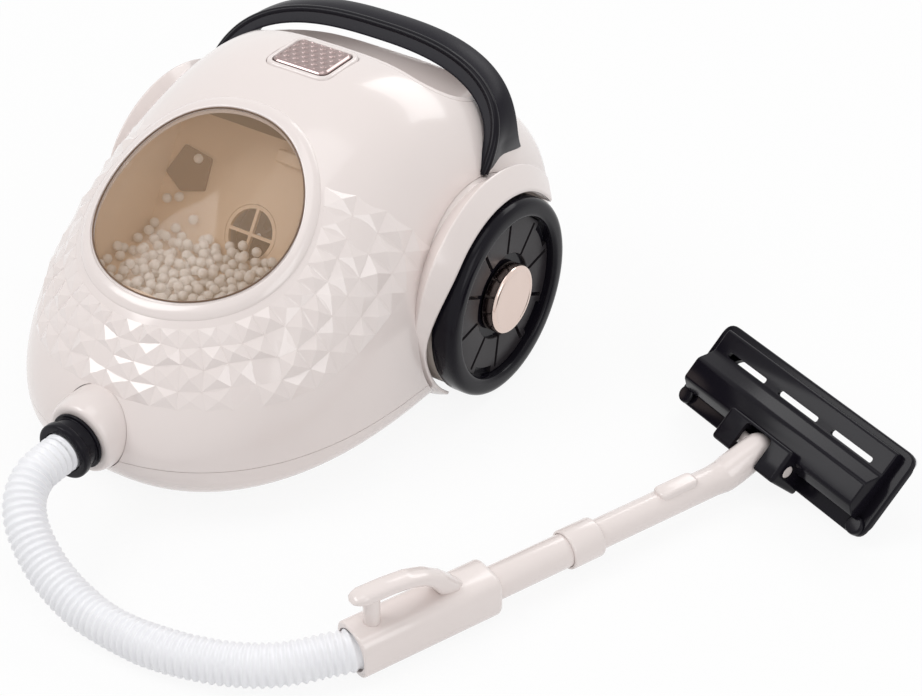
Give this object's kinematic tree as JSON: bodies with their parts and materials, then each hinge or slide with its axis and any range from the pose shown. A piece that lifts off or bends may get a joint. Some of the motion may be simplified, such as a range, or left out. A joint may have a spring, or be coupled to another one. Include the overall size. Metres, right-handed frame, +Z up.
{
  "type": "toy vacuum cleaner",
  "caption": "Toy canister vacuum cleaner on spinning wheels, with a clear dust window, carry handle, press button, ribbed hose, wand and tilting floor head.",
  "frame": {"origin": "on the floor under the middle of the wheel axle", "axes": "+Z up, -Y towards the nose and the hose, +X towards the wheel beside which the wand lies"},
  "size_m": [0.3214, 0.2651, 0.1158],
  "materials": {
    "ivory_gloss": "gloss",
    "black_satin": "satin",
    "black_gloss": "gloss",
    "rose_gold": "polished",
    "amber_clear": "clear",
    "peach_tray": "gloss",
    "foam_white": "matte",
    "hose_white": "satin",
    "bright_steel": "bright",
    "board_green": "satin",
    "cell_sleeve": "gloss"
  },
  "bodies": {
    "body": {"hood": "ivory_gloss", "base_tub": "ivory_gloss", "rear_housing": "ivory_gloss", "handle_well": "ivory_gloss", "carry_handle": "black_satin", "window_pane": "amber_clear", "dust_tray": "peach_tray", "fan_grille": "peach_tray", "foam_balls": "foam_white", "fan_motor": "bright_steel", "motor_bracket": "ivory_gloss", "button_bezel": "ivory_gloss", "button_spring": "bright_steel", "push_switch": "black_gloss", "circuit_board": "board_green", "battery_box": "ivory_gloss", "batteries": "cell_sleeve", "battery_contacts": "bright_steel", "battery_door": "ivory_gloss", "door_screw": "bright_steel", "axle": "bright_steel", "axle_clips": "bright_steel", "wheel_well_right": "ivory_gloss", "wheel_well_left": "ivory_gloss", "caster_housing": "ivory_gloss", "hose_socket": "ivory_gloss", "hose_collar": "black_gloss", "hose": "hose_white", "grip": "ivory_gloss", "rear_tube": "ivory_gloss", "tube_coupler": "ivory_gloss", "front_tube": "ivory_gloss"},
    "wheel_right": {"wheel_right": "black_gloss", "hub_cap_right": "rose_gold"},
    "wheel_left": {"wheel_left": "black_gloss", "hub_cap_left": "rose_gold"},
    "caster": {"caster_fork": "black_satin", "caster_pin": "bright_steel"},
    "caster_roller": {"caster_wheel": "black_satin"},
    "fan": {"impeller": "black_gloss", "motor_shaft": "bright_steel"},
    "button": {"power_button": "rose_gold"},
    "floor_head": {"head_cover": "black_gloss", "head_sole": "black_satin", "head_screws": "bright_steel"}
  },
  "joints": [
    {"name": "wheel_right_spin", "type": "hinge", "parent": "body", "child": "wheel_right", "pos_m": [0.07, 0, 0.038], "axis": [1, 0, 0], "continuous": true},
    {"name": "wheel_left_spin", "type": "hinge", "parent": "body", "child": "wheel_left", "pos_m": [-0.07, 0, 0.038], "axis": [1, 0, 0], "continuous": true},
    {"name": "caster_swivel", "type": "hinge", "parent": "body", "child": "caster", "pos_m": [0, -0.084, 0.02], "axis": [0, 0, 1], "continuous": true},
    {"name": "caster_roll", "type": "hinge", "parent": "caster", "child": "caster_roller", "pos_m": [0, -0.08, 0.0075], "axis": [1, 0, 0], "continuous": true},
    {"name": "fan_spin", "type": "hinge", "parent": "body", "child": "fan", "pos_m": [0, -0.0466, 0.06199], "axis": [0, -0.8192, 0.5736], "continuous": true},
    {"name": "button_press", "type": "slide", "parent": "body", "child": "button", "axis": [0, 0, -1], "range_m": [0, 0.0025], "stiffness_N_per_m": 400, "springref_m": -0.001, "deforming": ["button_spring"]},
    {"name": "head_pitch", "type": "hinge", "parent": "body", "child": "floor_head", "pos_m": [0.18387, -0.00062, 0.014], "axis": [0.9272, -0.3746, 0], "range_deg": [-46, 20]}
  ]
}
